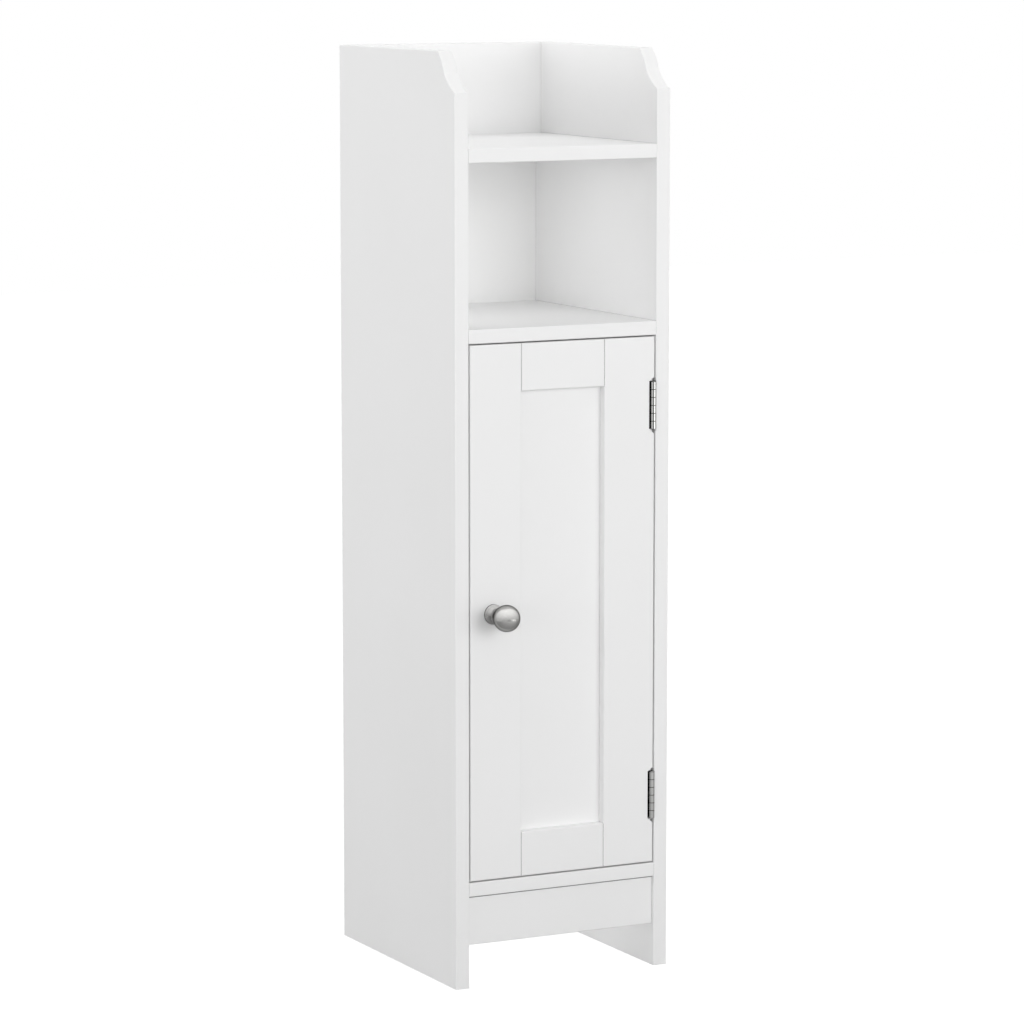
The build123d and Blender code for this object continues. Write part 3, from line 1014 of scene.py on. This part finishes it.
@dataclass(frozen=True)
class Staple:
    """A wire staple with its crown along X, just under its origin, and its legs down -Z."""

    crown: float
    leg: float
    wire: float
    corner: float = 0.75 * MM
    corner_steps: int = 4
    point: float = 1.3 * MM

    def section(self, middle: Vector, across: Vector, scale: float = 1.0) -> Loop:
        """Makes the flattened round section of the wire.

        Args:
            middle: The section's middle.
            across: The direction square to the wire in the staple's plane.
            scale: How much of the full thickness stays across.

        Returns:
            The section.
        """
        half = self.wire / 2
        right = ((1.0, 0.55), (0.55, 1.0), (-0.55, 1.0), (-1.0, 0.55))
        shape = right + tuple((-a, -b) for a, b in right)
        return [middle + across * (half * scale * a) + BACKWARDS * (half * b) for a, b in shape]

    def build(self, builder: Builder, matrix: Matrix) -> None:
        """Adds the staple.

        Args:
            builder: The mesh.
            matrix: Where it goes.
        """
        half = self.wire / 2
        side = self.crown / 2 - half
        mirrored = (3, 2, 1, 0, 7, 6, 5, 4)
        loops: list[Loop] = []
        for turn in (-1, 1):
            out = Vector((turn, 0.0, 0.0))
            end = Vector((turn * side, 0.0, -self.leg))
            rise = Vector((0.0, 0.0, self.point))
            rows = [[end], self.section(end + 0.15 * rise, out, 0.2), self.section(end + rise, out)]
            bend = Vector((turn * (side - self.corner), 0.0, -half - self.corner))
            for step in range(self.corner_steps + 1):
                angle = math.radians(90.0 * step / self.corner_steps)
                across = Vector((turn * math.cos(angle), 0.0, math.sin(angle)))
                rows.append(self.section(bend + self.corner * across, across))
            if turn == 1:
                rows = [
                    [row[index] for index in mirrored] if len(row) > 1 else row
                    for row in reversed(rows)
                ]
            loops += rows
        builder.skin(loops, matrix)


@dataclass(frozen=True)
class Fastening:
    """Pieces of one kind that take the place of one CAD node, and ride where it rides."""

    node: str
    body: Body
    slot: Slot
    shape: CrossHeadScrew | Turned | Staple

    def fit(self, material: bpy.types.Material, places: list[Matrix]) -> bpy.types.Object:
        """Builds the pieces and puts them in the node's place.

        Args:
            material: The pieces' finish.
            places: Where each piece goes.

        Returns:
            The pieces, as one object.
        """
        builder = Builder()
        for place in places:
            self.shape.build(builder, place)
        made = builder.piece(self.node + "_detailed")
        dress(made, material)
        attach(made, self.body.value)
        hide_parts(self.node)
        log.info("built %s, %d of them", self.node, len(places))
        return made


@dataclass
class Hardware:
    """The screws, hinge pins, shelf pins and staples, each set where its CAD solid is."""

    nodes: dict[str, bpy.types.Object]
    finishes: Finishes
    screw_turn: float = 37.0
    hinge_screw: CrossHeadScrew = CrossHeadScrew(2.8 * MM, 1.2 * MM, 1.5 * MM, 13.2 * MM)
    door_screw_length: float = 17.2 * MM
    catch_screw: CrossHeadScrew = CrossHeadScrew(2.6 * MM, 1.1 * MM, 1.4 * MM, 11.0 * MM)
    knob_screw_head: float = 2.2 * MM
    hinge_rod_radius: float = 1.75 * MM
    pin_ease: float = 0.5 * MM
    pin_grips: tuple[float, float] = (3.0 * MM, 5.0 * MM)

    def build(self) -> None:
        """Builds every kind in turn."""
        door_screw = replace(self.hinge_screw, length=self.door_screw_length)
        left, right, down = Vector((-1, 0, 0)), Vector((1, 0, 0)), Vector((0, 0, -1))
        self.wood_screws("hinge_screws_case", Body.CARCASS, left, self.hinge_screw)
        self.wood_screws("hinge_screws_door", Body.DOOR, right, door_screw)
        self.wood_screws("catch_screws", Body.CARCASS, down, self.catch_screw)
        self.wood_screws("strike_screw", Body.DOOR, BACKWARDS, self.catch_screw)
        self.knob()
        self.knob_screw()
        self.hinge_pins()
        self.shelf_pins()
        self.staples()

    def wood_screws(self, node: str, body: Body, facing: Vector, shape: CrossHeadScrew) -> None:
        """Builds the countersunk wood screws of one node.

        Args:
            node: The CAD node.
            body: The body that they ride on.
            facing: Where their heads look.
            shape: The screw.
        """
        places = []
        for index, place in enumerate(solids_of(self.nodes[node])):
            reach = abs(place.size.dot(facing)) / 2
            turn = Matrix.Rotation(math.radians(self.screw_turn * (index + 1)), 4, "Z")
            places.append(along(facing, place.middle + facing * reach) @ turn)
        Fastening(node, body, Slot.SCREW, shape).fit(self.finishes.zinc, places)

    def knob(self) -> None:
        """Builds the knob on the door's face."""
        place = Place(*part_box("knob"))
        foot = Vector((place.middle.x, place.high.y, place.middle.z))
        knob = Fastening("knob", Body.DOOR, Slot.KNOB, KnobShape().turned())
        knob.fit(self.finishes.nickel, [along(FORWARDS, foot)])

    def knob_screw(self) -> None:
        """Builds the machine screw that holds the knob, its pan head behind the stile."""
        place = Place(*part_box("knob_screw"))
        dome = 0.45 * self.knob_screw_head
        shape = CrossHeadScrew(
            head_radius=place.size.x / 2,
            head_height=self.knob_screw_head - dome,
            shank_radius=2.0 * MM,
            length=place.size.y - dome,
            pitch=0.7 * MM,
            point=0.6 * MM,
            dome=dome,
            countersunk=False,
        )
        start = Vector((place.middle.x, place.high.y - dome, place.middle.z))
        screw = Fastening("knob_screw", Body.DOOR, Slot.SCREW, shape)
        screw.fit(self.finishes.zinc, [along(BACKWARDS, start)])

    def hinge_pins(self) -> None:
        """Builds the two hinge pins, each with a low domed head and a rounded foot."""
        rod = self.hinge_rod_radius
        crown = ((0.0, 0.0), (0.35, 0.02), (0.65, 0.12), (0.88, 0.32), (1.0, 0.58), (1.0, 0.76))
        foot = ((rod, 0.4 * MM), (0.86 * rod, 0.12 * MM), (0.6 * rod, 0.0), (0.0, 0.0))
        for name in ("upper_hinge_pin", "lower_hinge_pin"):
            place = Place(*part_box(name))
            head, length = place.size.x / 2, place.size.z
            under = length - 0.8 * MM
            dome = tuple((share * head, length - drop * MM) for share, drop in crown)
            shape = Turned((*dome, (0.97 * head, under), (rod, under), *foot))
            start = Vector((place.middle.x, place.middle.y, place.low.z))
            pin = Fastening(name, Body.CARCASS, Slot.HINGE, shape)
            pin.fit(self.finishes.upper_hinge, [Matrix.Translation(start)])

    def shelf_pins(self) -> None:
        """Builds the four shelf pins, with eased ends and two grip rings in the wood."""
        places = solids_of(self.nodes["shelf_pins"])
        length, radius, ease = places[0].size.x, places[0].size.z / 2, self.pin_ease
        groove = 0.88 * radius
        grips = []
        for level in self.pin_grips:
            grips += [
                (radius, level),
                (groove, level + 0.25 * MM),
                (groove, level + 0.75 * MM),
                (radius, level + MM),
            ]
        shape = Turned(
            (
                (0.0, 0.0),
                (radius - ease, 0.0),
                (radius, ease),
                *grips,
                (radius, length - 0.8 * ease),
                (radius - 0.25 * ease, length - 0.25 * ease),
                (radius - ease, length),
                (0.0, length),
            )
        )
        spots = []
        for place in places:
            inward = Vector((-math.copysign(1.0, place.middle.x), 0.0, 0.0))
            spots.append(along(inward, place.middle - inward * length / 2))
        Fastening("shelf_pins", Body.CARCASS, Slot.SCREW, shape).fit(self.finishes.zinc, spots)

    def staples(self) -> None:
        """Builds the staples of the thin back, level in the boards and upright in the sides."""
        places = solids_of(self.nodes["back_panel_staples"])
        spots = []
        for place in places:
            upright = place.size.z > place.size.x
            crown = Vector((0.0, 0.0, 1.0)) if upright else Vector((1.0, 0.0, 0.0))
            turn = Matrix((crown, BACKWARDS.cross(crown), BACKWARDS)).transposed().to_4x4()
            start = place.middle + BACKWARDS * place.size.y / 2
            spots.append(Matrix.Translation(start) @ turn)
        wire, crown_length = sorted((places[0].size.x, places[0].size.z))
        shape = Staple(crown_length, places[0].size.y, wire)
        staples = Fastening("back_panel_staples", Body.CARCASS, Slot.SCREW, shape)
        staples.fit(self.finishes.zinc, spots)


class Surroundings(Recipe):
    """The world's node tree, filled one node at a time."""

    def __init__(self, name: str) -> None:
        """Starts an empty world with its output and its direction.

        Args:
            name: The world's name.
        """
        world = bpy.data.worlds.new(name)
        bpy.context.scene.world = world
        world.use_nodes = True
        self.tree = world.node_tree
        self.tree.nodes.clear()
        self.output = self.node("OutputWorld")
        self.direction = self.axes(self.node("TexCoord").outputs["Generated"])

    def total(self, base: float, steps: tuple[Step, ...]) -> bpy.types.NodeSocket:
        """Adds up smooth steps in brightness.

        Args:
            base: The brightness before every step.
            steps: The steps.

        Returns:
            The sum.
        """
        value = base
        for step in steps:
            ramp = self.node("MapRange", interpolation_type="SMOOTHSTEP")
            ramp.inputs["From Min"].default_value = step.start
            ramp.inputs["From Max"].default_value = step.end
            ramp.inputs["To Max"].default_value = step.rise
            self.join(self.direction[step.axis], ramp.inputs["Value"])
            value = self.maths("ADD", value, ramp.outputs["Result"])
        return value


def bearing(azimuth: float, elevation: float) -> Vector:
    """Gives the direction out from the cabinet at a bearing.

    Args:
        azimuth: Degrees round from the front, with the right side at 90.
        elevation: Degrees above level.

    Returns:
        The direction.
    """
    around, up = math.radians(azimuth), math.radians(elevation)
    level = math.cos(up)
    return Vector((math.sin(around) * level, -math.cos(around) * level, math.sin(up)))


def hang_panel(
    name: str, size: tuple[float, float], power: float, middle: Vector
) -> bpy.types.Object:
    """Hangs a flat lamp that metal doesn't mirror. It shines straight down until it is turned.

    Args:
        name: The lamp's name.
        size: Its sides in metres.
        power: Its power in watts.
        middle: Where its middle goes.

    Returns:
        The lamp.
    """
    data = bpy.data.lights.new(name, "AREA")
    data.shape = "RECTANGLE"
    data.size, data.size_y = size
    data.energy = power
    lamp = bpy.data.objects.new(name, data)
    lamp.location = middle
    lamp.visible_glossy = False
    bpy.context.scene.collection.objects.link(lamp)
    return lamp


@dataclass(frozen=True)
class Softbox:
    """One square lamp, hung by the direction that its light comes from. Angles are in degrees,
    lengths in metres and the power in watts."""

    name: str
    azimuth: float
    elevation: float
    distance: float
    side: float
    power: float
    aim: tuple[float, float, float] = (0.0, 0.0, 0.6)

    def hang(self) -> None:
        """Hangs the lamp."""
        away = bearing(self.azimuth, self.elevation)
        middle = Vector(self.aim) + away * self.distance
        lamp = hang_panel(self.name, (self.side, self.side), self.power, middle)
        lamp.rotation_euler = (-away).to_track_quat("-Z", "Y").to_euler()


@dataclass(frozen=True)
class OpeningFill:
    """A faint lamp in one opening that shines straight into it, as a reflector held there would. It
    is unseen itself. The spread is in degrees, lengths are in metres and the power is in watts."""

    name: str
    size: tuple[float, float]
    middle: tuple[float, float, float]
    power: float
    spread: float
    facing: Facing = Facing.BACK

    def hang(self) -> None:
        """Hangs the lamp."""
        lamp = hang_panel(self.name, self.size, self.power, Vector(self.middle))
        lamp.data.spread = math.radians(self.spread)
        lamp.rotation_euler = (*map(math.radians, self.facing.value), 0.0)
        lamp.visible_camera = False


@dataclass
class Studio:
    """The floor, the pale surroundings and the lamps."""

    floor_half: float = 8.0
    floor_mirrored_half: float = 1.3
    floor_tone: float = 0.44
    floor_seen_tone: float = 0.85
    floor_mirrored_near: float = 0.46
    floor_mirrored_far: float = 0.90
    floor_mirrored_span: tuple[float, float] = (-0.15, -1.1)
    floor_glow: float = 0.72
    floor_glow_strength: float = 1.26
    ceiling: tuple[Step, ...] = (Step("Z", 0.3, 0.8, 0.585),)
    low_walls: tuple[Step, ...] = (
        Step("Y", -0.2, -0.8, 1.763),
        Step("X", -0.3, -0.8, 0.897),
        Step("X", 0.3, 0.8, 0.171),
    )
    low_wall_top: tuple[Step, ...] = (Step("Z", 0.1, 0.5, -1.0),)
    room_base: float = 0.57
    room: tuple[Step, ...] = (Step("Z", -0.6, 1.3, 1.28),)
    band_base: float = 0.90
    band: tuple[Step, ...] = (
        Step("X", -0.90, -0.80, -0.30),
        Step("X", -0.45, -0.35, -0.48),
        Step("X", 0.20, 0.28, 2.60),
        Step("X", 0.80, 0.88, -2.45),
    )
    band_edges: tuple[Step, ...] = (
        Step("Z", -0.222, -0.217, 1.0),
        Step("Z", -0.188, -0.183, -1.0),
        Step("Z", -0.133, -0.128, 1.0),
        Step("Z", -0.099, -0.094, -1.0),
    )
    lamps: tuple[Softbox, ...] = (
        Softbox("right softbox", 11.0, 12.0, 3.2, 1.4, 24.3),
        Softbox("left softbox", -80.0, 15.0, 5.0, 2.0, 17.8),
        Softbox("side softbox", -108.0, 12.0, 5.0, 2.0, 57.6),
        Softbox("rear softbox", 172.0, 66.0, 2.6, 1.2, 12.8),
        Softbox("far softbox", 124.0, 16.0, 5.0, 2.0, 34.0),
    )
    fills: tuple[OpeningFill, ...] = (
        OpeningFill("open shelf fill", (0.205, 0.155), (0.0, -0.119, 0.7885), 0.008, 110.0),
        OpeningFill(
            "open shelf side fill", (0.15, 0.21), (-0.1105, 0.0, 0.7885), 0.053, 160.0, Facing.RIGHT
        ),
        OpeningFill(
            "open shelf top fill", (0.20, 0.15), (0.0, -0.035, 0.8745), 0.02, 120.0, Facing.DOWN
        ),
        OpeningFill(
            "toe space fill", (0.07, 0.22), (-0.1105, 0.03, 0.045), 0.16, 170.0, Facing.RIGHT
        ),
    )

    def build(self) -> None:
        """Sets up the floor, the world and the lamps."""
        self.lay_floor()
        self.light_world()
        for lamp in (*self.lamps, *self.fills):
            lamp.hang()

    def floor_material(self) -> bpy.types.Material:
        """Makes the floor's pale surface. The camera sees it lighter than the lamps do, and metal
        sees it brighten towards the front."""
        recipe = Recipe("pale floor")
        rays = recipe.node("LightPath").outputs
        mirrored = recipe.span(
            recipe.axes(recipe.place())["Y"],
            self.floor_mirrored_near,
            self.floor_mirrored_far,
            *self.floor_mirrored_span,
        )
        unseen = recipe.chosen(rays["Is Glossy Ray"], self.floor_tone, mirrored)
        tone = recipe.mixed(rays["Is Camera Ray"], unseen, (self.floor_seen_tone,) * 3)
        matt = recipe.node("BsdfDiffuse")
        recipe.join(tone, matt.inputs["Color"])
        glow = recipe.node("Emission")
        glow.inputs["Strength"].default_value = self.floor_glow_strength
        share = recipe.maths("MULTIPLY", rays["Is Camera Ray"], self.floor_glow)
        mix = recipe.node("MixShader")
        for source, target in zip((share, matt.outputs[0], glow.outputs[0]), mix.inputs):
            recipe.join(source, target)
        recipe.join(mix.outputs["Shader"], recipe.output.inputs["Surface"])
        return recipe.material

    def lay_floor(self) -> None:
        """Lays a pale floor that takes the cabinet's shadow and reads as the white background.
        Metal mirrors only the floor near the cabinet."""
        material = self.floor_material()
        near, far = self.floor_mirrored_half, self.floor_half
        square = ((-1, -1), (1, -1), (1, 1), (-1, 1))
        corners = [(x * half, y * half, 0.0) for half in (near, far) for x, y in square]
        around = [(step, step + 4, (step + 1) % 4 + 4, (step + 1) % 4) for step in range(4)]
        for name, faces in (("floor", [(0, 1, 2, 3)]), ("floor around", around)):
            mesh = bpy.data.meshes.new(name)
            mesh.from_pydata(corners, [], faces)
            floor = bpy.data.objects.new(name, mesh)
            bpy.context.scene.collection.objects.link(floor)
            floor.visible_glossy = name == "floor"
            dress(floor, material)

    def light_world(self) -> None:
        """Fills the world with soft light. The camera sees it white, and metal sees a room that
        brightens upwards, with two striped bands below the horizon."""
        sky = Surroundings("studio")
        rays = sky.node("LightPath").outputs
        room = sky.total(self.room_base, self.room)
        band = sky.total(self.band_base, self.band)
        mirrored = sky.chosen(sky.total(0.0, self.band_edges), room, band)
        low_walls = sky.total(0.0, self.low_walls)
        walls = sky.maths("MULTIPLY", sky.total(1.0, self.low_wall_top), low_walls)
        soft = sky.maths("ADD", sky.total(0.0, self.ceiling), walls)
        in_metal = sky.chosen(rays["Is Glossy Ray"], soft, mirrored)
        background = sky.node("Background")
        sky.feed((1.0, 1.0, 1.0), background.inputs["Color"])
        sky.join(sky.chosen(rays["Is Camera Ray"], in_metal, 1.0), background.inputs["Strength"])
        sky.join(background.outputs["Background"], sky.output.inputs["Surface"])


@dataclass
class ViewPoint:
    """The camera, at the photograph's angle. Angles are in degrees and lengths in metres."""

    azimuth: float = -27.221
    elevation: float = 7.916
    distance: float = 4.6875
    aside: float = 0.0099
    level: float = 0.4866
    middle_depth: float = 0.022625
    focal_mm: float = 151.6
    sensor_mm: float = 36.0
    far_end: float = 50.0

    def build(self) -> None:
        """Places the camera and makes it the scene's own."""
        away = bearing(self.azimuth, self.elevation)
        right = bearing(self.azimuth + 90.0, 0.0)
        target = right * self.aside + Vector((0.0, self.middle_depth, self.level))
        data = bpy.data.cameras.new("camera")
        data.lens = self.focal_mm
        data.sensor_width = self.sensor_mm
        data.clip_end = self.far_end
        camera = bpy.data.objects.new("camera", data)
        camera.location = target + away * self.distance
        camera.rotation_euler = (-away).to_track_quat("-Z", "Y").to_euler()
        bpy.context.scene.collection.objects.link(camera)
        bpy.context.scene.camera = camera
        bpy.context.scene.view_settings.view_transform = "Standard"


def main() -> None:
    """Dresses the cabinet and sets up the studio around it."""
    logging.basicConfig(level=logging.INFO, format="%(message)s")
    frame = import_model()
    nodes = frame["nodes"]
    finishes = Finishes()
    for part in frame["record"]["subparts"]:
        node = part["node"]
        dress(nodes[node], finishes.of(node, Slot(part["material_slot"])))
        log.info("dressed %s", node)
    Hardware(nodes, finishes).build()
    Studio().build()
    ViewPoint().build()


if __name__ == "__main__":
    main()
